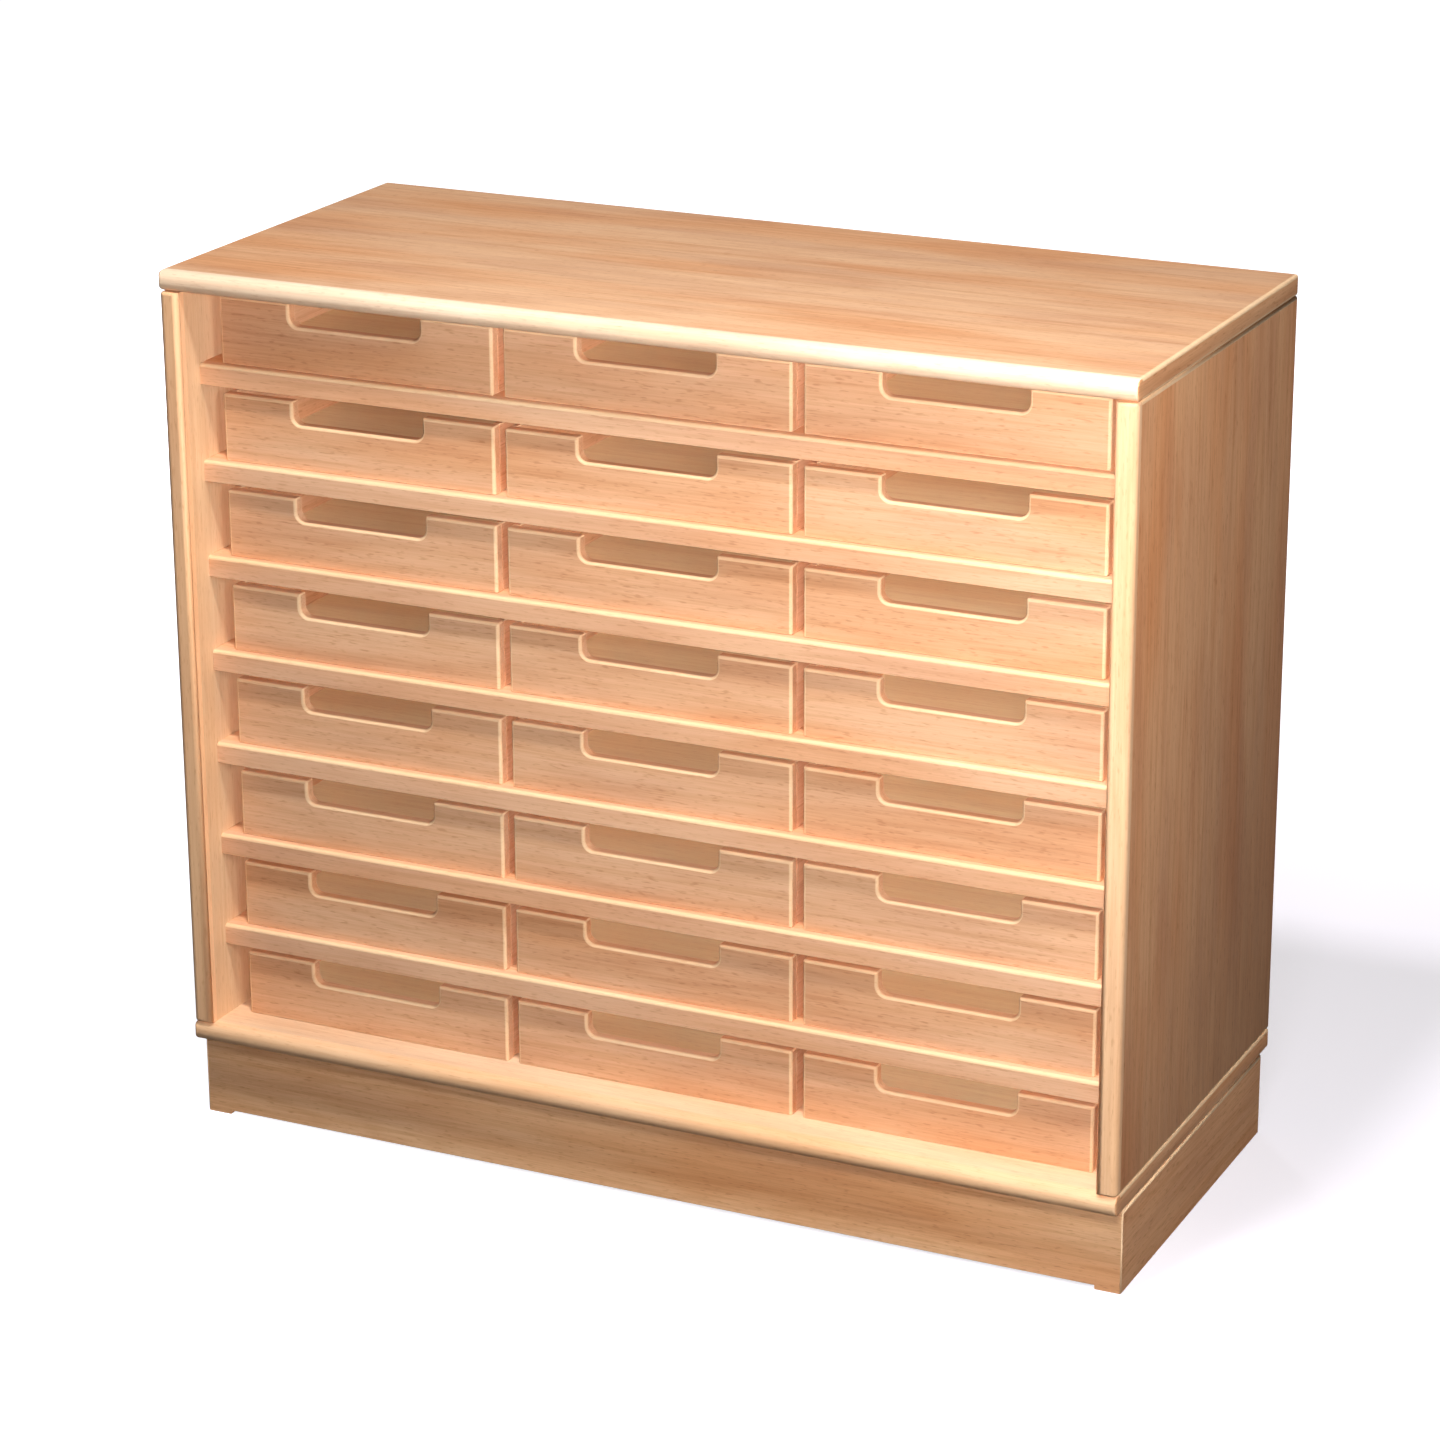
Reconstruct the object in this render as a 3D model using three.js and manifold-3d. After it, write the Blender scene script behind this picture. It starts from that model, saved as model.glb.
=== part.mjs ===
// A low classroom cabinet with rows of open-topped wooden trays that slide out over its shelves.
// The carcass is veneered board with solid wood lippings on its front edges, on a plinth frame.
// Millimetres, +Z up. The front faces -Y and +X is to the right seen from the front.
// The origin is on the floor, under the middle of the cabinet.

import * as THREE from 'three';
import { mergeVertices } from 'three/addons/utils/BufferGeometryUtils.js';
import Module from 'manifold-3d';

const wasm = await Module();
wasm.setup();

// Carcass
const cabinetWidth = 1044;
const cabinetDepth = 460;
const boardThickness = 22; // top, bottom, sides and shelves
const lippingDepth = 12; // solid wood strip on a front edge, measured front to back
const carcassRounding = 7; // front arrises of the top, bottom and side lippings
const shelfRounding = 4; // front arrises of the shelf lippings
const shelfSetback = 36; // shelf front behind the carcass front
const housingDepth = 6; // how far a shelf end is let into a side panel
const backThickness = 8;
const backInset = 12; // rear face of the back panel in from the rear edges of the boards
const backLetIn = 8; // how far the back panel is let into the boards round it
const jointSlack = 0.3; // space round a piece that is let into another
const glueLine = 0.1; // space between two faces that are glued together

// Plinth
const plinthHeight = 90;
const plinthFrontRecess = 22; // plinth front behind the carcass front
const plinthRearRecess = 22;
const plinthSideThickness = 28;
const plinthBoardThickness = 22; // front board, back board and middle rail
const plinthToeGap = 4; // the front board, back board and rail stay clear of the floor
const cornerBlockLeg = 60;
const cornerBlockHeight = 70;

// Trays
const trayRows = 8;
const trayColumns = 3;
const shelfOpening = 80; // clear height of one row
const trayHeadroom = 9.7; // tray to the board above
const trayRunningGap = 0.3; // tray to the board it slides on
const traySetback = 10; // tray front behind the shelf front
const trayMargin = 20; // outer tray to the side panel
const trayGap = 12; // tray to tray
const trayRearGap = 4; // tray to the back panel
const trayFrontThickness = 13;
const trayWall = 8;
const trayFloor = 5;
const trayFloorRaise = 5; // underside of the floor above the lower edges of the walls
const trayFrontRounding = 3; // arrises round the tray front and its finger notch
const trayTongue = 2; // how far the walls and floor run into the tray front
const notchWidth = 150;
const notchDepth = 24;
const notchRounding = 10; // lower corners of the finger notch

// Levels and planes that the pieces share
const bottomTop = plinthHeight + boardThickness;
const rowPitch = shelfOpening + boardThickness;
const topUnder = bottomTop + trayRows * rowPitch - boardThickness;
const cabinetHeight = topUnder + boardThickness;
const front = -cabinetDepth / 2;
const rear = cabinetDepth / 2;
const outerSide = cabinetWidth / 2;
const innerSide = outerSide - boardThickness;
const panelFront = front + lippingDepth + glueLine;
const backFront = rear - backInset - backThickness;
const shelfFront = front + shelfSetback;
const shelfCoreFront = shelfFront + lippingDepth + glueLine;
const trayFront = shelfFront + traySetback;
const trayLength = backFront - trayRearGap - trayFront;
const trayHeight = shelfOpening - trayHeadroom - trayRunningGap;
const trayWidth = (2 * innerSide - 2 * trayMargin - (trayColumns - 1) * trayGap) / trayColumns;
const plinthFront = front + plinthFrontRecess;
const plinthRear = rear - plinthRearRecess;
const plinthTop = plinthHeight - glueLine;
const plinthInner = outerSide - plinthSideThickness;
const cutOverrun = 5; // cutters run this far past the face they open

// Directions that turn a flat outline, drawn in x and y and extruded along z, into place
const alongX = new THREE.Matrix4().set(0, 0, 1, 0, 1, 0, 0, 0, 0, 1, 0, 0, 0, 0, 0, 1);
const alongZ = new THREE.Matrix4().set(0, -1, 0, 0, 1, 0, 0, 0, 0, 0, 1, 0, 0, 0, 0, 1);
const towardsFront = new THREE.Matrix4().set(1, 0, 0, 0, 0, 0, -1, 0, 0, 1, 0, 0, 0, 0, 0, 1);

const veneer = { color: 0xe3ae82, roughness: 0.5, metalness: 0 };
const solidBeech = { color: 0xecbd92, roughness: 0.45, metalness: 0 };
const trayBeech = { color: 0xdda67a, roughness: 0.5, metalness: 0 };
const plywood = { color: 0xcfa077, roughness: 0.6, metalness: 0 };

const cabinet = new THREE.Group();

function addPiece(name, geometry, finish, place = [0, 0, 0]) {
  const mesh = new THREE.Mesh(geometry, new THREE.MeshStandardMaterial(finish));
  mesh.name = name;
  mesh.position.set(...place);
  cabinet.add(mesh);
}

function block(low, high) {
  const size = high.map((value, axis) => value - low[axis]);
  const middle = high.map((value, axis) => (value + low[axis]) / 2);
  return new THREE.BoxGeometry(...size).translate(...middle);
}

function toSolid(geometry) {
  const bare = geometry.clone();
  bare.deleteAttribute('normal');
  bare.deleteAttribute('uv');
  const merged = mergeVertices(bare);
  return new wasm.Manifold(new wasm.Mesh({
    numProp: 3,
    vertProperties: merged.attributes.position.array,
    triVerts: Uint32Array.from(merged.index.array),
  }));
}

function toGeometry(solid) {
  const { vertProperties, triVerts } = solid.getMesh();
  const geometry = new THREE.BufferGeometry();
  geometry.setAttribute('position', new THREE.BufferAttribute(vertProperties, 3));
  geometry.setIndex(new THREE.BufferAttribute(triVerts, 1));
  geometry.computeVertexNormals();
  return geometry;
}

function cut(geometry, cutters) {
  let solid = toSolid(geometry);
  for (const cutter of cutters) {
    solid = solid.subtract(toSolid(cutter));
  }
  return toGeometry(solid);
}

// A strip with its two front arrises rounded: x is the depth, y the thickness, z the length
function lipping(length, thickness, radius) {
  const round = Math.min(radius, thickness / 2, lippingDepth);
  const outline = new THREE.Shape();
  outline.moveTo(lippingDepth, 0);
  outline.lineTo(lippingDepth, thickness);
  outline.lineTo(round, thickness);
  outline.absarc(round, thickness - round, round, Math.PI / 2, Math.PI, false);
  outline.absarc(round, round, round, Math.PI, 1.5 * Math.PI, false);
  return new THREE.ExtrudeGeometry(outline, { depth: length, bevelEnabled: false, curveSegments: 4 });
}

// The groove that the back panel sits in, as a cutter between two heights and two sides
function backGroove(lowX, highX, lowZ, highZ) {
  const rearOfPanel = backFront + backThickness;
  return block([lowX, backFront - jointSlack, lowZ], [highX, rearOfPanel + jointSlack, highZ]);
}

function makeTopAndBottom() {
  const reach = innerSide + backLetIn + jointSlack;
  const depthOfGroove = backLetIn + jointSlack;
  const top = block([-outerSide, panelFront, topUnder], [outerSide, rear, cabinetHeight]);
  const topGroove = backGroove(-reach, reach, topUnder - cutOverrun, topUnder + depthOfGroove);
  addPiece('top_panel', cut(top, [topGroove]), veneer);

  const bottom = block([-outerSide, panelFront, plinthHeight], [outerSide, rear, bottomTop]);
  const bottomGroove = backGroove(-reach, reach, bottomTop - depthOfGroove, bottomTop + cutOverrun);
  addPiece('bottom_panel', cut(bottom, [bottomGroove]), veneer);

  const strip = lipping(cabinetWidth, boardThickness, carcassRounding).applyMatrix4(alongX);
  addPiece('top_lipping', strip, solidBeech, [-outerSide, front, topUnder]);
  addPiece('bottom_lipping', strip, solidBeech, [-outerSide, front, plinthHeight]);
}

// One side panel stands between the top and bottom panels, with a housing for each shelf
function makeSide(name, side) {
  const low = bottomTop + glueLine;
  const high = topUnder - glueLine;
  const across = (near, far) => [Math.min(side * near, side * far), Math.max(side * near, side * far)];
  const [panelLeft, panelRight] = across(innerSide, outerSide);
  const [grooveLeft, grooveRight] = across(innerSide - cutOverrun, innerSide + backLetIn + jointSlack);
  const [housingLeft, housingRight] = across(innerSide - cutOverrun, innerSide + housingDepth + jointSlack);
  const cutters = [backGroove(grooveLeft, grooveRight, low - cutOverrun, high + cutOverrun)];
  for (let shelf = 1; shelf < trayRows; shelf += 1) {
    const level = topUnder - shelf * rowPitch;
    cutters.push(block(
      [housingLeft, shelfCoreFront - jointSlack, level - jointSlack],
      [housingRight, backFront, level + boardThickness + jointSlack],
    ));
  }
  const panel = block([panelLeft, panelFront, low], [panelRight, rear, high]);
  addPiece(`${name}_side_panel`, cut(panel, cutters), veneer);

  const strip = lipping(high - low, boardThickness, carcassRounding).applyMatrix4(alongZ);
  addPiece(`${name}_side_lipping`, strip, solidBeech, [panelRight, front, low]);
}

function makeBack() {
  const reach = innerSide + backLetIn;
  const low = bottomTop - backLetIn;
  const high = topUnder + backLetIn;
  const panel = block([-reach, backFront, low], [reach, backFront + backThickness, high]);
  addPiece('back_panel', panel, plywood);
}

function makeShelves() {
  const reach = innerSide + housingDepth;
  const lippingLength = 2 * (innerSide - glueLine);
  const core = block([-reach, shelfCoreFront, 0], [reach, backFront - jointSlack, boardThickness]);
  const strip = lipping(lippingLength, boardThickness, shelfRounding).applyMatrix4(alongX);
  for (let shelf = 1; shelf < trayRows; shelf += 1) {
    const level = topUnder - shelf * rowPitch;
    addPiece(`shelf_${shelf}`, core, veneer, [0, 0, level]);
    addPiece(`shelf_${shelf}_lipping`, strip, solidBeech, [-lippingLength / 2, shelfFront, level]);
  }
}

// The plinth is a frame: its side boards stand on the floor and carry the other boards between them
function makePlinth() {
  const between = plinthInner - glueLine;
  const frontInner = plinthFront + plinthBoardThickness;
  const rearInner = plinthRear - plinthBoardThickness;
  const leftBoard = block([-outerSide, plinthFront, 0], [-plinthInner, plinthRear, plinthTop]);
  const rightBoard = block([plinthInner, plinthFront, 0], [outerSide, plinthRear, plinthTop]);
  const frontBoard = block([-between, plinthFront, plinthToeGap], [between, frontInner, plinthTop]);
  const backBoard = block([-between, rearInner, plinthToeGap], [between, plinthRear, plinthTop]);
  const halfRail = plinthBoardThickness / 2;
  const middleRail = block(
    [-halfRail, frontInner + glueLine, plinthToeGap],
    [halfRail, rearInner - glueLine, plinthTop],
  );
  addPiece('plinth_left_board', leftBoard, veneer);
  addPiece('plinth_right_board', rightBoard, veneer);
  addPiece('plinth_front_board', frontBoard, veneer);
  addPiece('plinth_back_board', backBoard, veneer);
  addPiece('plinth_middle_rail', middleRail, veneer);

  const low = plinthTop - cornerBlockHeight;
  for (const [end, y, inward] of [['front', frontInner + glueLine, 1], ['back', rearInner - glueLine, -1]]) {
    for (const [hand, side] of [['left', -1], ['right', 1]]) {
      const outline = new THREE.Shape();
      outline.moveTo(0, 0);
      outline.lineTo(-side * cornerBlockLeg, 0);
      outline.lineTo(0, inward * cornerBlockLeg);
      const wedge = new THREE.ExtrudeGeometry(outline, { depth: cornerBlockHeight, bevelEnabled: false });
      addPiece(`plinth_corner_block_${end}_${hand}`, wedge, solidBeech, [side * between, y, low]);
    }
  }
}

// The front board of a tray: a finger notch in its top edge and every front arris rounded
function trayFrontBoard() {
  const halfWidth = trayWidth / 2;
  const halfNotch = notchWidth / 2;
  const notchFloor = trayHeight - notchDepth;
  const round = Math.min(notchRounding, notchDepth, halfNotch);
  const arris = Math.min(trayFrontRounding, trayFrontThickness / 2);
  const outline = new THREE.Shape();
  outline.moveTo(-halfWidth, 0);
  outline.lineTo(halfWidth, 0);
  outline.lineTo(halfWidth, trayHeight);
  outline.lineTo(halfNotch, trayHeight);
  outline.absarc(halfNotch - round, notchFloor + round, round, 0, -Math.PI / 2, true);
  outline.absarc(round - halfNotch, notchFloor + round, round, -Math.PI / 2, -Math.PI, true);
  outline.lineTo(-halfNotch, trayHeight);
  outline.lineTo(-halfWidth, trayHeight);
  const board = new THREE.ExtrudeGeometry(outline, {
    depth: trayFrontThickness,
    bevelThickness: arris,
    bevelSize: arris,
    bevelOffset: -arris,
    bevelSegments: 2,
    curveSegments: 2,
  });
  board.applyMatrix4(towardsFront).translate(0, trayFrontThickness + arris, 0);
  const pastRear = trayFrontThickness + 2 * arris + cutOverrun;
  const rearWaste = block(
    [-trayWidth, trayFrontThickness, -cutOverrun],
    [trayWidth, pastRear, trayHeight + cutOverrun],
  );
  return toSolid(board).subtract(toSolid(rearWaste));
}

// A tray is a glued box with no lid. It is drawn with the middle of its lower front edge at zero.
function makeTrays() {
  const halfWidth = trayWidth / 2;
  const halfInside = halfWidth - trayWall;
  const wallsFront = trayFrontThickness - trayTongue;
  const shell = block([-halfWidth, wallsFront, 0], [halfWidth, trayLength, trayHeight]);
  const inside = block(
    [-halfInside, wallsFront - cutOverrun, trayFloorRaise + trayFloor],
    [halfInside, trayLength - trayWall, trayHeight + cutOverrun],
  );
  const underFloor = block(
    [-halfInside, wallsFront - cutOverrun, -cutOverrun],
    [halfInside, trayLength - trayWall, trayFloorRaise],
  );
  const box = toSolid(shell).subtract(toSolid(inside)).subtract(toSolid(underFloor));
  const tray = toGeometry(box.add(trayFrontBoard()));
  for (let row = 1; row <= trayRows; row += 1) {
    const level = topUnder - row * rowPitch + boardThickness + trayRunningGap;
    for (let column = 1; column <= trayColumns; column += 1) {
      const x = (column - (trayColumns + 1) / 2) * (trayWidth + trayGap);
      addPiece(`tray_row${row}_col${column}`, tray, trayBeech, [x, trayFront, level]);
    }
  }
}

makeTopAndBottom();
makeSide('left', -1);
makeSide('right', 1);
makeBack();
makeShelves();
makePlinth();
makeTrays();

export default cabinet;
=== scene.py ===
# Classroom tray cabinet in beech: veneered boards, solid lippings, a plinth and open sliding trays
import math

import bmesh
import bpy
from mathutils import Matrix, Vector


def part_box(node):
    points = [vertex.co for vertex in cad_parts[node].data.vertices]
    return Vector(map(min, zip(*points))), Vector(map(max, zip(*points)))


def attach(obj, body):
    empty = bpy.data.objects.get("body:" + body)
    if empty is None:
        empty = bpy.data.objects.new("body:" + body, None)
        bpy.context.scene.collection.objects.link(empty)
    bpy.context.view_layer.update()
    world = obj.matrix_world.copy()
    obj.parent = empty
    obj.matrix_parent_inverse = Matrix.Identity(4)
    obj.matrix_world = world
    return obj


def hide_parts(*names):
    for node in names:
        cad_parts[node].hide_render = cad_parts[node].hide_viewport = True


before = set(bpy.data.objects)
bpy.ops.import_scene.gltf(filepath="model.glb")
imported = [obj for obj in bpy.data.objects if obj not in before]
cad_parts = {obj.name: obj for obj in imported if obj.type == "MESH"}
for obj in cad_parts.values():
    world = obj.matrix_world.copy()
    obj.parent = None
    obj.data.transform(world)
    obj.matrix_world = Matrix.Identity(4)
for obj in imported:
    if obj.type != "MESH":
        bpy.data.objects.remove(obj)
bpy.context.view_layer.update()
scene = bpy.context.scene
mm = 0.001
nearby = 0.02 * mm    # points closer than this count as touching


def toLinear(code):
    # sRGB hex to the linear values that the sockets take
    shades = [int(code[at:at + 2], 16) / 255 for at in (0, 2, 4)]
    linear = [s / 12.92 if s <= 0.04045 else ((s + 0.055) / 1.055) ** 2.4 for s in shades]
    return (*linear, 1.0)


def addNode(tree, kind, settings=None, values=None, links=None):
    node = tree.nodes.new(kind)
    for name, value in (settings or {}).items():
        setattr(node, name, value)
    for name, value in (values or {}).items():
        node.inputs[name].default_value = value
    for name, source in (links or {}).items():
        tree.links.new(source, node.inputs[name])
    return node


def newMaterial(name):
    material = bpy.data.materials.new(name)
    material.use_nodes = True
    material.node_tree.nodes.clear()
    return material, material.node_tree


# Beech under a satin lacquer. To the eye: a warm pinkish tan with soft orange and grey pink patches,
# faint growth lines and darker streaks along the grain, and short brown flecks.
# A layer multiplies the wood by its tint. Its size is in mm along and across the grain,
# and it comes in between the two noise values of its span.
beechLayers = {
    "orangePatch": {"tint": "f2cfac", "strength": 0.6, "size": (420, 70),
                    "span": (0.42, 0.68), "detail": 2},
    "pinkPatch": {"tint": "e2d6d8", "strength": 0.5, "size": (260, 45),
                  "span": (0.46, 0.7), "detail": 2},
    "growthLine": {"tint": "e4d2be", "strength": 0.18, "size": (900, 80),
                   "span": (0.1, 1.0), "detail": 1, "rings": 14},
    "streak": {"tint": "dcc0a2", "strength": 0.34, "size": (230, 6),
               "span": (0.48, 0.74), "detail": 2},
    "fibre": {"tint": "e6d4c2", "strength": 0.5, "size": (60, 1.6),
              "span": (0.4, 0.7), "detail": 2},
    # real flecks are about 4 by 0.6 mm, drawn coarser so that they show
    "fleck": {"tint": "c8a280", "strength": 0.45, "size": (12, 1.8),
              "span": (0.6, 0.74), "detail": 1},
}
beechFinish = {
    "ior": 1.5,
    "gloss": 0.3,             # a thin lacquer, half sunk into the wood
    "roughness": 0.4,
    "roughnessChange": 0.1,   # the streaks are a little duller
    "relief": 0.1,            # mm, depth of the open grain
    "reliefStrength": 0.5,
    "layerShift": 17.3,       # moves each layer's noise away from the others
}
# Each line ends with what that wood gives the eye beside the others
woods = {
    "veneer": {"base": "f2c299", "contrast": 1.0},        # the warm middle tan of the top
    "sideVeneer": {"base": "f0b686", "contrast": 1.0},    # more orange, as the sides show
    "plinthVeneer": {"base": "f8c799", "contrast": 1.0},  # painted lighter, to make up for the shade low down
    "paleVeneer": {"base": "f3d0ad", "contrast": 0.6},    # creamy, on the ledge under the trays: painted light on the bottom board's upper face
    "innerVeneer": {"base": "e8c49c", "contrast": 0.6},   # soft tan inside the side panels: painted light, paler and less orange than their outer faces
    "lipping": {"base": "f8cda2", "contrast": 0.6},       # creamier than the veneer: painted highlight on the solid strips
    "topLipping": {"base": "f9ddc0", "contrast": 0.6},    # the palest strip, along the top: painted highlight
    "shelfLipping": {"base": "edbe9a", "contrast": 0.7},  # close to the tray fronts
    "arris": {"base": "f7d2a8", "contrast": 0.4},         # a paler wood on the rounded edges: painted highlight
    "tray": {"base": "eabb95", "contrast": 0.85},         # pinkish tan with plain grain
    "birchPly": {"base": "f6e3b8", "contrast": 0.5},      # yellowish and even, in the trays: pale birch, painted lighter still for the shade inside the trays
    "backPly": {"base": "e2b88e", "contrast": 0.9},       # a duller brown on the back
}


def makeBeech(name, grain, wood, finish=beechFinish):
    material, tree = newMaterial(name)
    place = addNode(tree, "ShaderNodeTexCoord")
    amounts = {}
    tone = None
    for order, (layer, s) in enumerate(beechLayers.items()):
        along, across = s["size"]
        scale = [1 / (across * mm)] * 3
        scale["xyz".index(grain)] = 1 / (along * mm)
        stretch = addNode(tree, "ShaderNodeMapping", None,
                          {"Scale": scale, "Location": [finish["layerShift"] * order] * 3},
                          {"Vector": place.outputs["Object"]})
        noise = addNode(tree, "ShaderNodeTexNoise", None, {"Scale": 1.0, "Detail": s["detail"]},
                        {"Vector": stretch.outputs["Vector"]})
        height = noise.outputs["Fac"]
        if "rings" in s:   # contour lines of a slow noise run like growth lines
            turns = addNode(tree, "ShaderNodeMath", {"operation": "MULTIPLY"},
                            {1: s["rings"] * math.tau}, {0: height})
            wave = addNode(tree, "ShaderNodeMath", {"operation": "SINE"}, None, {0: turns.outputs[0]})
            height = wave.outputs[0]
        amount = addNode(tree, "ShaderNodeMapRange", None,
                         {"From Min": s["span"][0], "From Max": s["span"][1],
                          "To Max": s["strength"] * wood["contrast"]},
                         {"Value": height})
        amounts[layer] = amount.outputs["Result"]
        mix = addNode(tree, "ShaderNodeMix", {"data_type": "RGBA", "blend_type": "MULTIPLY"},
                      {6: toLinear(wood["base"]), 7: toLinear(s["tint"])}, {0: amounts[layer]})
        if tone:
            tree.links.new(tone, mix.inputs[6])
        tone = mix.outputs[2]
    dullest = finish["roughness"] + finish["roughnessChange"]
    rough = addNode(tree, "ShaderNodeMapRange", None,
                    {"To Min": finish["roughness"], "To Max": dullest}, {"Value": amounts["streak"]})
    bump = addNode(tree, "ShaderNodeBump", {"invert": True},
                   {"Strength": finish["reliefStrength"], "Distance": finish["relief"] * mm},
                   {"Height": amounts["fleck"]})
    shader = addNode(tree, "ShaderNodeBsdfPrincipled", None,
                     {"IOR": finish["ior"], "Specular IOR Level": finish["gloss"]},
                     {"Base Color": tone, "Roughness": rough.outputs["Result"],
                      "Normal": bump.outputs["Normal"]})
    addNode(tree, "ShaderNodeOutputMaterial", None, None, {"Surface": shader.outputs["BSDF"]})
    return material


veneerAcross = makeBeech("beech_veneer_across", "x", woods["veneer"])
veneerDeep = makeBeech("beech_veneer_front_to_back", "y", woods["sideVeneer"])
veneerUpright = makeBeech("beech_veneer_upright", "z", woods["sideVeneer"])
ledgeVeneerPaintedLightAcross = makeBeech("pale_beech_veneer_across", "x", woods["paleVeneer"])
innerVeneerPaintedLightUpright = makeBeech("pale_beech_veneer_upright", "z", woods["innerVeneer"])
# The plinth's veneer is painted lighter, standing in for light that the shade under the bottom board
# takes away
plinthVeneer = makeBeech("beech_veneer_plinth", "x", woods["plinthVeneer"])
# The top lipping's wood is a painted highlight, paler than the other lippings
topLipping = makeBeech("solid_beech_top_lipping", "x", woods["topLipping"])
# The arris wood paints a highlight along every rounded edge that takes it
arrisPaintedHighlight = makeBeech("sanded_beech_arris", "x", woods["arris"])
# The lipping wood is paler than the veneer as painted highlight
lippingAcross = makeBeech("solid_beech_lipping_across", "x", woods["lipping"])
lippingUpright = makeBeech("solid_beech_lipping_upright", "z", woods["lipping"])
shelfLipping = makeBeech("solid_beech_shelf_lipping", "x", woods["shelfLipping"])
trayAcross = makeBeech("solid_beech_tray_across", "x", woods["tray"])
trayDeep = makeBeech("solid_beech_tray_front_to_back", "y", woods["tray"])
# The tray base is pale birch, painted lighter still to offset the shade inside the trays
plyBase = makeBeech("birch_plywood_tray_base", "x", woods["birchPly"])
plyBack = makeBeech("beech_plywood_back", "z", woods["backPly"])


# Zinc-plated steel. To the eye: a bright grey with a faint blue cast and a slightly uneven shine.
zinc = {
    "colour": "c4c9cf",
    "metal": 0.5,              # the plating is half dull
    "roughness": 0.3,
    "roughnessChange": 0.15,
    "cloud": 3,                # mm
}


def makeZinc(name, s=zinc):
    material, tree = newMaterial(name)
    place = addNode(tree, "ShaderNodeTexCoord")
    noise = addNode(tree, "ShaderNodeTexNoise", None, {"Scale": 1 / (s["cloud"] * mm)},
                    {"Vector": place.outputs["Object"]})
    rough = addNode(tree, "ShaderNodeMapRange", None,
                    {"To Min": s["roughness"], "To Max": s["roughness"] + s["roughnessChange"]},
                    {"Value": noise.outputs["Fac"]})
    shader = addNode(tree, "ShaderNodeBsdfPrincipled", None,
                     {"Base Color": toLinear(s["colour"]), "Metallic": s["metal"]},
                     {"Roughness": rough.outputs["Result"]})
    addNode(tree, "ShaderNodeOutputMaterial", None, None, {"Surface": shader.outputs["BSDF"]})
    return material


zincSteel = makeZinc("zinc_plated_steel")
print("materials made")

weightName = "bevel_weight_edge"
flatAngle = math.radians(30)      # gentler bends shade smooth
joinAngle = math.radians(1)       # faces this close to flat are one face
cornerAngle = math.radians(60)    # steeper bends are corners of a board
roundSteps = 4                    # faces across a rounded arris, where nothing else is said


def newPiece(name, shape, materials):
    # arrises that stay square are marked sharp, so that flat faces shade flat
    weights = shape.edges.layers.float.get(weightName)
    for edge in shape.edges:
        rounded = weights is not None and edge[weights] > 0
        edge.smooth = rounded or edge.calc_face_angle(0.0) < flatAngle
    for face in shape.faces:
        face.smooth = True
    mesh = bpy.data.meshes.new(name)
    shape.to_mesh(mesh)
    shape.free()
    for material in materials:
        mesh.materials.append(material)
    piece = bpy.data.objects.new(name, mesh)
    scene.collection.objects.link(piece)
    return piece


def boxShape(low, high):
    shape = bmesh.new()
    middle = Matrix.Translation((low + high) / 2)
    size = Matrix.Diagonal((*(high - low), 1.0))
    bmesh.ops.create_cube(shape, size=1.0, matrix=middle @ size)
    return shape


def cadShape(node):
    # the node's own solid as a merged copy, with its flat faces joined up
    shape = bmesh.new()
    shape.from_mesh(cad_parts[node].data)
    bmesh.ops.remove_doubles(shape, verts=shape.verts, dist=nearby)
    bmesh.ops.dissolve_limit(shape, angle_limit=joinAngle, verts=shape.verts, edges=shape.edges)
    return shape


def markRounds(shape, low, high, rounds, widest):
    # rounds gives radii in mm for edges of the box, named by the two faces they lie between
    weights = shape.edges.layers.float.new(weightName)
    for edge in shape.edges:
        name = ""
        for axis, letter in enumerate("xyz"):
            ends = [vert.co[axis] for vert in edge.verts]
            if max(abs(end - low[axis]) for end in ends) < nearby:
                name += "-" + letter
            elif max(abs(end - high[axis]) for end in ends) < nearby:
                name += "+" + letter
        edge[weights] = rounds.get(name, 0) / widest


def addRounding(piece, radius, steps, arris):
    # the rounded strip takes the material arris, if there is one, which paints a highlight along it
    bevel = piece.modifiers.new("roundedArrises", "BEVEL")
    if arris:
        piece.data.materials.append(arris)
        bevel.material = len(piece.data.materials) - 1
    bevel.width = radius * mm
    bevel.segments = steps
    bevel.limit_method = "WEIGHT"
    bevel.harden_normals = True


def finishPiece(piece, body, slot, *nodes):
    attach(piece, body)
    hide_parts(*nodes)


def makeBoard(node, slot, rounds, materials, slotOf=None, fromCad=False, steps=roundSteps,
              arris=arrisPaintedHighlight):
    # slotOf gives a face's material from the way it looks, such as "+z"
    low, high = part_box(node)
    shape = cadShape(node) if fromCad else boxShape(low, high)
    widest = max(rounds.values())
    markRounds(shape, low, high, rounds, widest)
    for face in shape.faces:
        axis = max(range(3), key=lambda a: abs(face.normal[a]))
        looks = ("+" if face.normal[axis] > 0 else "-") + "xyz"[axis]
        face.material_index = (slotOf or {}).get(looks, 0)
    piece = newPiece(node + "_beech", shape, materials)
    addRounding(piece, widest, steps, arris)
    finishPiece(piece, "carcass", slot, node)


def mirrored(rounds):
    # the same radii with left and right swapped
    swap = {"-": "+", "+": "-"}
    return {swap[k[0]] + k[1:] if k[1] == "x" else k: r for k, r in rounds.items()}


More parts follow.
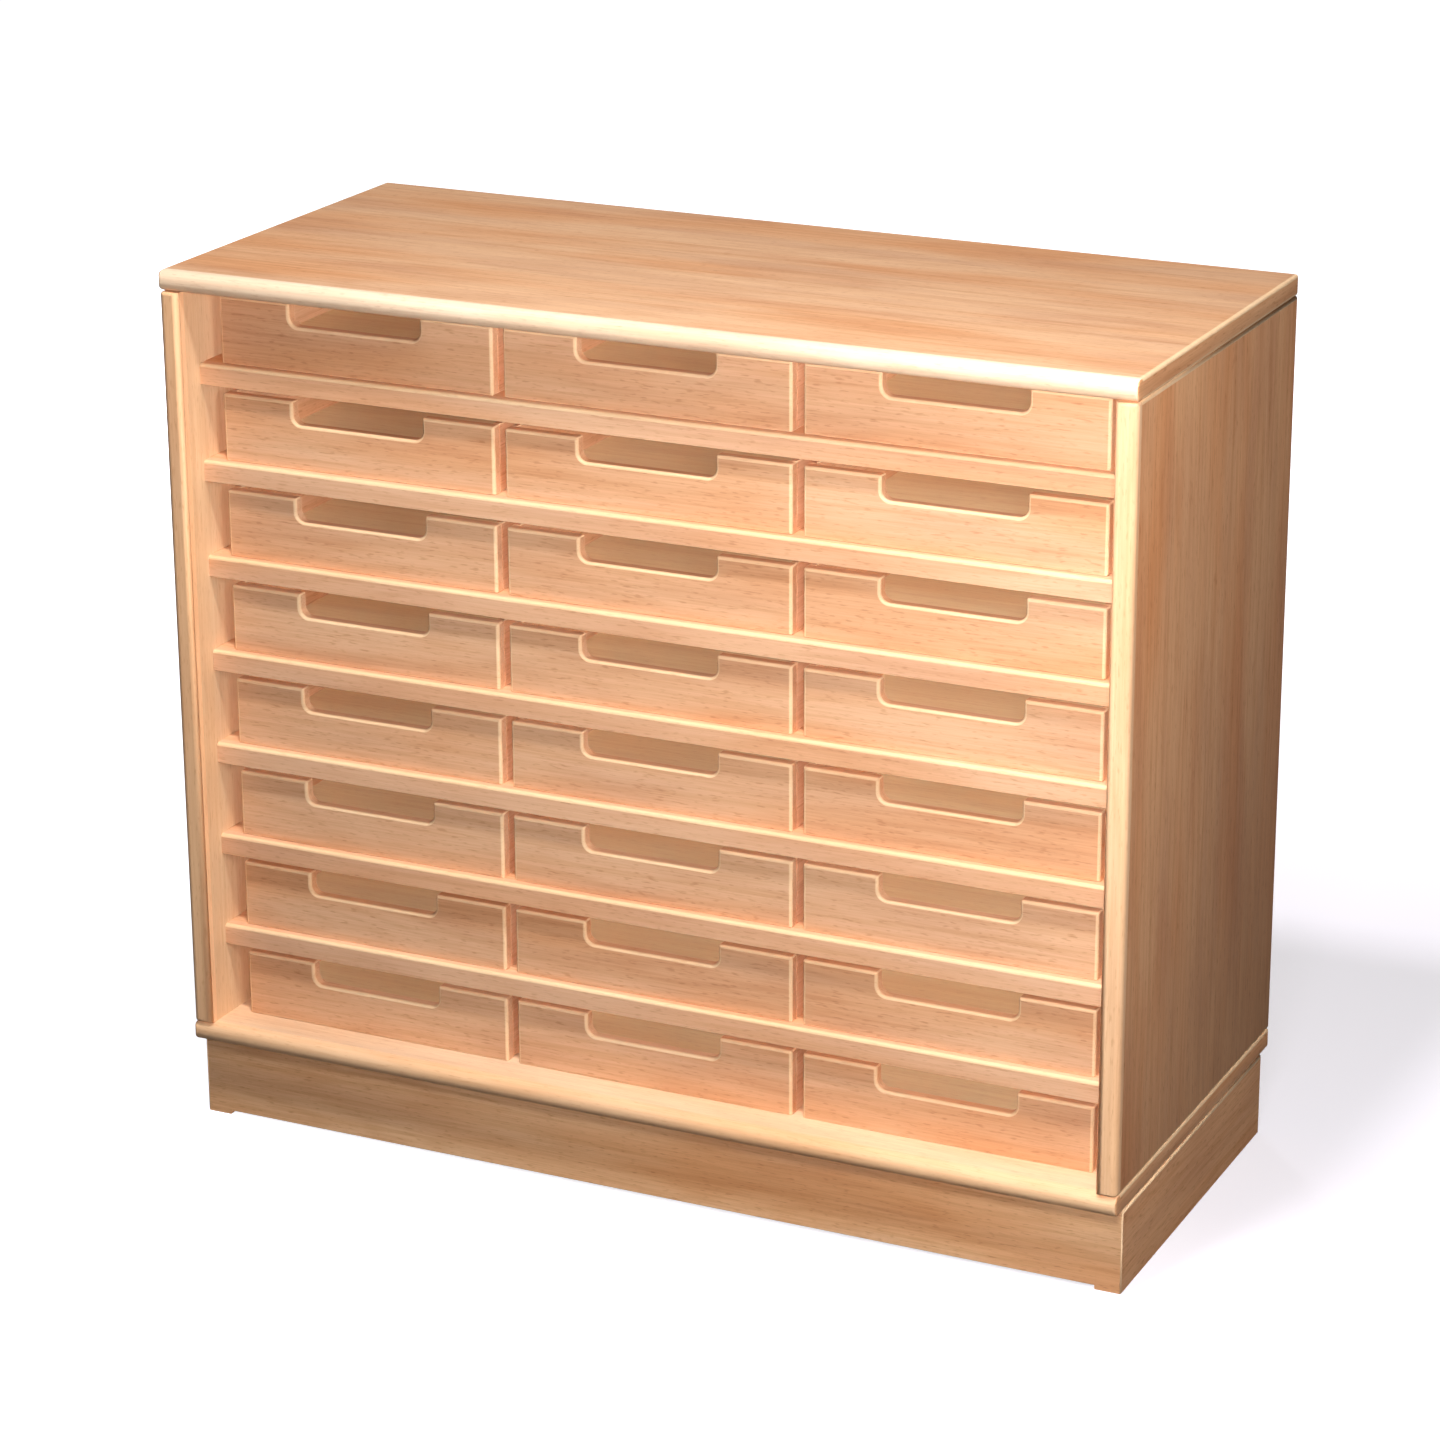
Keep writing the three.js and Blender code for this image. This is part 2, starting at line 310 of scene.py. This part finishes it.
# Carcass boards and their lippings
carcass = {
    "frontRound": 10.5,  # mm, the top and bottom lippings are nearly half-round in front
    "sideRound": 7,      # the side lippings are flatter
    "endRound": 3.5,     # where top, sides, bottom and plinth meet in a small V
    "rearRound": 1.5,
    "shelfRound": 3.5,   # upper arris of the shelf lippings
    "hiddenRound": 0.5,  # arrises left nearly square
    "lippingSteps": 6,
    "shelfSteps": 5,
}
front, side, end = carcass["frontRound"], carcass["sideRound"], carcass["endRound"]
rear, shelf, hidden = carcass["rearRound"], carcass["shelfRound"], carcass["hiddenRound"]
endArrises = {"-x+z": end, "+x+z": end, "-x-z": end, "+x-z": end}
rearArrises = {"+y+z": rear, "+y-z": rear, "-x+y": rear, "+x+y": rear}
# The bottom panel's upper face, the ledge, takes a paler wood as painted light from above
panels = (("top", veneerAcross, topLipping), ("bottom", ledgeVeneerPaintedLightAcross, lippingAcross))
for level, faceVeneer, strip in panels:
    makeBoard(level + "_panel", "beech_veneer", {**endArrises, **rearArrises},
              [veneerAcross, veneerDeep, faceVeneer], {"-x": 1, "+x": 1, "+z": 2}, fromCad=True)
    makeBoard(level + "_lipping", "solid_beech",
              {"-y+z": front, "-y-z": front, "-x-y": end, "+x-y": end, **endArrises},
              [strip, veneerDeep], {"-x": 1, "+x": 1}, steps=carcass["lippingSteps"], arris=None)
sideArrises = {"+x+z": end, "+x-z": end, "+x+y": rear, "-x+y": rear}
stripArrises = {"+x-y": side, "-x-y": side, "-y+z": end, "-y-z": end, "+x+z": end, "+x-z": end}
# The inner faces of the side panels take the inner wood, painted lighter than the outer faces
for hand, turned in (("right", dict), ("left", mirrored)):
    makeBoard(hand + "_side_panel", "beech_veneer", turned(sideArrises),
              [veneerUpright, innerVeneerPaintedLightUpright], turned({"-x": 1}), fromCad=True)
    makeBoard(hand + "_side_lipping", "solid_beech", turned(stripArrises), [lippingUpright],
              steps=carcass["lippingSteps"], arris=None)
makeBoard("back_panel", "back_plywood", {"-x+z": hidden, "+x+z": hidden}, [plyBack])
shelfNodes = [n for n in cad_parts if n.startswith("shelf_") and not n.endswith("lipping")]
for node in shelfNodes:
    makeBoard(node, "beech_veneer", {"+y+z": hidden, "+y-z": hidden}, [veneerAcross])
    makeBoard(node + "_lipping", "solid_beech", {"-y+z": shelf, "-y-z": hidden}, [shelfLipping],
              steps=carcass["shelfSteps"])
print("carcass made")


# Plinth frame
plinth = {"outerRound": 1, "topRound": 3.5, "edgeRound": 1, "blockSteps": 2}   # radii in mm
outer, eased = plinth["outerRound"], plinth["edgeRound"]
plinthSide = {"+x+z": plinth["topRound"], "+x-y": outer, "+x+y": outer, "+x-z": eased, "-x-z": eased}
for hand, turned in (("right", dict), ("left", mirrored)):
    makeBoard("plinth_" + hand + "_board", "plinth_beech", turned(plinthSide),
              [veneerDeep, plinthVeneer], {"-y": 1, "+y": 1})
makeBoard("plinth_front_board", "plinth_beech",
          {"-y-z": eased, "-y+z": eased, "+y-z": eased}, [plinthVeneer])
makeBoard("plinth_back_board", "plinth_beech",
          {"+y-z": eased, "+y+z": eased, "-y-z": eased}, [veneerAcross])
makeBoard("plinth_middle_rail", "plinth_beech", {"-x-z": eased, "+x-z": eased}, [veneerDeep])


def makeCornerBlock(node):
    shape = cadShape(node)
    weights = shape.edges.layers.float.new(weightName)
    for edge in shape.edges:
        edge[weights] = 1.0
    piece = newPiece(node + "_beech", shape, [lippingUpright])
    addRounding(piece, plinth["edgeRound"], plinth["blockSteps"], arrisPaintedHighlight)
    finishPiece(piece, "carcass", "solid_beech", node)


for node in [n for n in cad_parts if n.startswith("plinth_corner_block")]:
    makeCornerBlock(node)
print("plinth made")


# Pan-head screws through the back into the rear edge of every shelf
backScrews = {
    "columns": 5,
    "sideMargin": 90,       # mm from the back's edge to the outer columns
    "headDiameter": 8,
    "headHeight": 2.2,
    "headSegments": 20,
    "headRings": 10,
    "crossLength": 4.6,
    "crossWidth": 1.0,
    "crossDepth": 1.3,
    "seed": 4,              # turns each cross
}


def makeBackScrews(s=backScrews):
    low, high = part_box("back_panel")
    levels = [(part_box(n)[0].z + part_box(n)[1].z) / 2 for n in shelfNodes]
    sizes = {
        "Columns": ("NodeSocketInt", s["columns"]),
        "Rows": ("NodeSocketInt", len(levels)),
        "Field Width": ("NodeSocketFloat", high.x - low.x - 2 * s["sideMargin"] * mm),
        "Field Height": ("NodeSocketFloat", max(levels) - min(levels)),
        "Head Radius": ("NodeSocketFloat", s["headDiameter"] / 2 * mm),
        "Seed": ("NodeSocketInt", s["seed"]),
    }
    tree = bpy.data.node_groups.new("screwsOnBack", "GeometryNodeTree")
    tree.interface.new_socket("Geometry", in_out="OUTPUT", socket_type="NodeSocketGeometry")
    names = {n: tree.interface.new_socket(n, in_out="INPUT", socket_type=k).identifier
             for n, (k, _) in sizes.items()}
    given = addNode(tree, "NodeGroupInput").outputs
    grid = addNode(tree, "GeometryNodeMeshGrid", None, None,
                   {"Size X": given["Field Width"], "Size Y": given["Field Height"],
                    "Vertices X": given["Columns"], "Vertices Y": given["Rows"]})
    ball = addNode(tree, "GeometryNodeMeshUVSphere", None,
                   {"Segments": s["headSegments"], "Rings": s["headRings"]},
                   {"Radius": given["Head Radius"]})
    flatten = s["headHeight"] / (s["headDiameter"] / 2)
    dome = addNode(tree, "GeometryNodeTransform", None, {"Scale": (1, 1, flatten)},
                   {"Geometry": ball.outputs["Mesh"]})
    head = addNode(tree, "GeometryNodeMeshBoolean",
                   {"operation": "DIFFERENCE", "solver": "EXACT"}, None,
                   {"Mesh 1": dome.outputs["Geometry"]})
    for length, width in ((s["crossLength"], s["crossWidth"]), (s["crossWidth"], s["crossLength"])):
        bar = addNode(tree, "GeometryNodeMeshCube", None,
                      {"Size": (length * mm, width * mm, 2 * s["crossDepth"] * mm)})
        raised = addNode(tree, "GeometryNodeTransform", None,
                         {"Translation": (0, 0, s["headHeight"] * mm)},
                         {"Geometry": bar.outputs["Mesh"]})
        tree.links.new(raised.outputs["Geometry"], head.inputs["Mesh 2"])
    turn = addNode(tree, "FunctionNodeRandomValue", {"data_type": "FLOAT_VECTOR"},
                   {0: (0, 0, 0), 1: (0, 0, math.pi)}, {"Seed": given["Seed"]})
    spread = addNode(tree, "GeometryNodeInstanceOnPoints", None, None,
                     {"Points": grid.outputs["Mesh"], "Instance": head.outputs["Mesh"],
                      "Rotation": turn.outputs[0]})
    rearFace = (0, high.y, (max(levels) + min(levels)) / 2)
    stand = addNode(tree, "GeometryNodeTransform", None,
                    {"Rotation": (-math.pi / 2, 0, 0), "Translation": rearFace},
                    {"Geometry": spread.outputs["Instances"]})
    real = addNode(tree, "GeometryNodeRealizeInstances", None, None,
                   {"Geometry": stand.outputs["Geometry"]})
    paint = addNode(tree, "GeometryNodeSetMaterial", None, {"Material": zincSteel},
                    {"Geometry": real.outputs["Geometry"]})
    addNode(tree, "NodeGroupOutput", None, None, {"Geometry": paint.outputs["Geometry"]})

    piece = bpy.data.objects.new("back_screws", bpy.data.meshes.new("back_screws"))
    scene.collection.objects.link(piece)
    modifier = piece.modifiers.new("screwsOnBack", "NODES")
    modifier.node_group = tree
    for name, (_, value) in sizes.items():
        modifier[names[name]] = value
    bpy.context.view_layer.update()
    evaluated = piece.evaluated_get(bpy.context.evaluated_depsgraph_get())
    mesh = bpy.data.meshes.new_from_object(evaluated)
    piece.modifiers.remove(modifier)
    piece.data = mesh
    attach(piece, "carcass")
    print("back screws made, faces:", len(mesh.polygons))


makeBackScrews()


# Trays: a notched front board, two sides, a back and a plywood base let into them
tray = {
    "frontThickness": 13,    # mm
    "wall": 8,
    "floor": 5,
    "floorRaise": 5,
    "notchWidth": 150,
    "notchDepth": 24,
    "notchRound": 10,
    "notchSteps": 8,
    "frontRound": 3,      # arrises that face the user
    "innerRound": 1.5,
    "wallRound": 1,       # walls, and the front's lower edge
    "gap": 0.05,          # between glued pieces
}


def notchedFront(low, high, t=tray):
    # outline of the front board seen from the front, with the notch in its top edge
    middle = (low.x + high.x) / 2
    half, depth, radius = t["notchWidth"] / 2 * mm, t["notchDepth"] * mm, t["notchRound"] * mm
    corners = [(low.x, low.z), (high.x, low.z), (high.x, high.z), (middle + half, high.z)]
    for way, start in ((1, 0.0), (-1, -0.5)):
        centre = Vector((middle + way * (half - radius), high.z - depth + radius))
        for step in range(t["notchSteps"] + 1):
            angle = math.pi * (start - 0.5 * step / t["notchSteps"])
            corners.append((centre.x + radius * math.cos(angle), centre.y + radius * math.sin(angle)))
    corners += [(middle - half, high.z), (low.x, high.z)]
    shape = bmesh.new()
    rearFace = low.y + t["frontThickness"] * mm
    weights = shape.edges.layers.float.new(weightName)
    loops = [[shape.verts.new((x, y, z)) for x, z in corners] for y in (low.y, rearFace)]
    shape.faces.new(loops[0])
    shape.faces.new(loops[1][::-1])
    count = len(corners)
    for at in range(count):
        after = (at + 1) % count
        shape.faces.new((loops[0][after], loops[0][at], loops[1][at], loops[1][after]))
    bmesh.ops.recalc_face_normals(shape, faces=shape.faces)
    for edge in shape.edges:
        ys = [vert.co.y for vert in edge.verts]
        if max(vert.co.z for vert in edge.verts) < low.z + nearby:
            edge[weights] = t["wallRound"] / t["frontRound"]
        elif max(ys) < low.y + nearby:
            edge[weights] = 1.0
        elif min(ys) > rearFace - nearby or edge.calc_face_angle(0.0) > cornerAngle:
            edge[weights] = t["innerRound"] / t["frontRound"]
    return shape


def makeTray(node, t=tray):
    low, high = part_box(node)
    wall, gap = t["wall"] * mm, t["gap"] * mm
    rearOfFront = low.y + t["frontThickness"] * mm + gap
    inLeft, inRight, inRear = low.x + wall + gap, high.x - wall - gap, high.y - wall
    base = low.z + t["floorRaise"] * mm
    boards = {
        "left": (1, (low.x, rearOfFront, low.z), (low.x + wall, high.y, high.z)),
        "right": (1, (high.x - wall, rearOfFront, low.z), (high.x, high.y, high.z)),
        "back": (0, (inLeft, inRear, low.z), (inRight, high.y, high.z)),
        "floor": (2, (inLeft, rearOfFront, base), (inRight, inRear - gap, base + t["floor"] * mm)),
    }
    wallEdges = ("-x+z", "+x+z", "-y+z", "+y+z", "-x-z", "+x-z", "-x+y", "+x+y")
    shape = notchedFront(low, high)
    for name, (slot, start, stop) in boards.items():
        start, stop = Vector(start), Vector(stop)
        board = boxShape(start, stop)
        rounds = {} if name == "floor" else {e: t["wallRound"] for e in wallEdges}
        markRounds(board, start, stop, rounds, t["frontRound"])
        for face in board.faces:
            face.material_index = slot
        part = bpy.data.meshes.new("part")
        board.to_mesh(part)
        board.free()
        shape.from_mesh(part)
        bpy.data.meshes.remove(part)
    piece = newPiece(node + "_beech", shape, [trayAcross, trayDeep, plyBase])
    addRounding(piece, t["frontRound"], roundSteps, arrisPaintedHighlight)
    finishPiece(piece, node, "tray_beech", node)


trayNodes = [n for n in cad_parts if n.startswith("tray_row")]
for node in trayNodes:
    makeTray(node)
print("trays made:", len(trayNodes))


# Floor and background: white, with the cabinet's own soft shadow
studio = {
    "floorSize": 30,            # m
    "floorColour": "c2bcc8",    # as the camera sees it
    "floorBounce": "4e4a48",    # as the cabinet sees it, so that little light comes up from below
    "nearGlow": 0.50,           # the floor's own light for the camera, where the shadow falls
    "farGlow": 1.0,             # and past the lamps' reach, where it is plain white
    "shadowPlace": (0.55, 0.4, 0),    # m, about where the shadow falls
    "glowFrom": 0.4,            # m from there
    "glowTo": 1.5,
    "reflected": 0.08,          # share of the white background that reflections show
    "ambient": 0.02,
    "ambientColour": "fff6ee",
}


def seenByCamera(tree, s=studio):
    # 1 for the camera and through glass, less in reflections, 0 for the light on the cabinet
    ray = addNode(tree, "ShaderNodeLightPath")
    dimmed = addNode(tree, "ShaderNodeMath", {"operation": "MULTIPLY"}, {1: s["reflected"]},
                     {0: ray.outputs["Is Glossy Ray"]})
    direct = addNode(tree, "ShaderNodeMath", {"operation": "MAXIMUM"}, None,
                     {0: ray.outputs["Is Camera Ray"], 1: ray.outputs["Is Transmission Ray"]})
    seen = addNode(tree, "ShaderNodeMath", {"operation": "MAXIMUM"}, None,
                   {0: dimmed.outputs[0], 1: direct.outputs[0]})
    return seen.outputs[0]


def makeFloor(s=studio):
    half = s["floorSize"] / 2
    shape = bmesh.new()
    corners = ((-half, -half), (half, -half), (half, half), (-half, half))
    shape.faces.new([shape.verts.new((x, y, 0.0)) for x, y in corners])
    material, tree = newMaterial("pale_studio_floor")
    seen = seenByCamera(tree)
    place = addNode(tree, "ShaderNodeTexCoord")
    reach = addNode(tree, "ShaderNodeVectorMath", {"operation": "DISTANCE"}, {1: s["shadowPlace"]},
                    {0: place.outputs["Object"]})
    level = addNode(tree, "ShaderNodeMapRange", None,
                    {"From Min": s["glowFrom"], "From Max": s["glowTo"],
                     "To Min": s["nearGlow"], "To Max": s["farGlow"]},
                    {"Value": reach.outputs["Value"]})
    matt = addNode(tree, "ShaderNodeBsdfDiffuse", None, {"Color": toLinear(s["floorColour"])})
    glow = addNode(tree, "ShaderNodeEmission", None, None, {"Strength": level.outputs["Result"]})
    both = addNode(tree, "ShaderNodeAddShader", None, None,
                   {0: matt.outputs["BSDF"], 1: glow.outputs["Emission"]})
    dull = addNode(tree, "ShaderNodeBsdfDiffuse", None, {"Color": toLinear(s["floorBounce"])})
    choose = addNode(tree, "ShaderNodeMixShader", None, None,
                     {0: seen, 1: dull.outputs["BSDF"], 2: both.outputs["Shader"]})
    addNode(tree, "ShaderNodeOutputMaterial", None, None, {"Surface": choose.outputs["Shader"]})
    newPiece("studio_floor", shape, [material])


def makeWorld(s=studio):
    world = bpy.data.worlds.new("white_studio")
    scene.world = world
    world.use_nodes = True
    tree = world.node_tree
    tree.nodes.clear()
    seen = seenByCamera(tree)
    soft = addNode(tree, "ShaderNodeBackground", None,
                   {"Color": toLinear(s["ambientColour"]), "Strength": s["ambient"]})
    white = addNode(tree, "ShaderNodeBackground", None, {"Color": (1, 1, 1, 1), "Strength": 1.0})
    choose = addNode(tree, "ShaderNodeMixShader", None, None,
                     {0: seen, 1: soft.outputs["Background"], 2: white.outputs["Background"]})
    addNode(tree, "ShaderNodeOutputWorld", None, None, {"Surface": choose.outputs["Shader"]})


# The keys stand near the right front, and the side lamps light the right side. Those named for what
# they reach into cast no shadow, nor does the high key, so that the trays are light inside.
# The rear lamp shows the back and the left side.
lamps = {
    "keyLow": {"place": (0.9, -1.3, 1.2), "power": 38, "shadow": True, "glare": False},
    "keyInto": {"place": (0.9, -1.3, 1.2), "power": 55, "shadow": False, "glare": False},
    "keyHigh": {"place": (0.8, -1.0, 2.0), "power": 15, "shadow": False, "glare": True},
    "side": {"place": (2.5, -0.5, 1.0), "power": 18, "shadow": True, "glare": True},
    "sideInto": {"place": (2.5, -0.5, 1.0), "power": 17, "shadow": False, "glare": True},
    "overhead": {"place": (0.2, -1.07, 3.2), "power": 275, "shadow": True, "glare": False},
    "rear": {"place": (-1.6, 2.6, 0.7), "power": 170, "shadow": True, "glare": False},
}
lampRadius = 0.15    # m


def makeLamp(name, s):
    light = bpy.data.lights.new(name, "POINT")
    light.shadow_soft_size = lampRadius
    light.energy = s["power"]
    light.use_shadow = s["shadow"]
    lamp = bpy.data.objects.new(name, light)
    lamp.location = s["place"]
    lamp.visible_glossy = s["glare"]    # whether the lacquer shows its glare
    scene.collection.objects.link(lamp)


makeFloor()
makeWorld()
for name, settings in lamps.items():
    makeLamp(name, settings)

# Camera, to the right of the cabinet's front and a little above it
cameraSet = {
    "place": (1.8002, -3.775, 1.9148),
    "turn": (70.88, 0.03, 24.756),    # degrees
    "lens": 107,                      # mm
    "sensor": 36,                     # mm
    "shift": (-0.0417, -0.0069),
}


def makeCamera(s=cameraSet):
    data = bpy.data.cameras.new("photo_camera")
    data.lens = s["lens"]
    data.sensor_width = s["sensor"]
    data.shift_x, data.shift_y = s["shift"]
    camera = bpy.data.objects.new("photo_camera", data)
    camera.location = s["place"]
    camera.rotation_euler = [math.radians(a) for a in s["turn"]]
    scene.collection.objects.link(camera)
    scene.camera = camera


makeCamera()
scene.view_settings.view_transform = "Standard"
print("studio made")
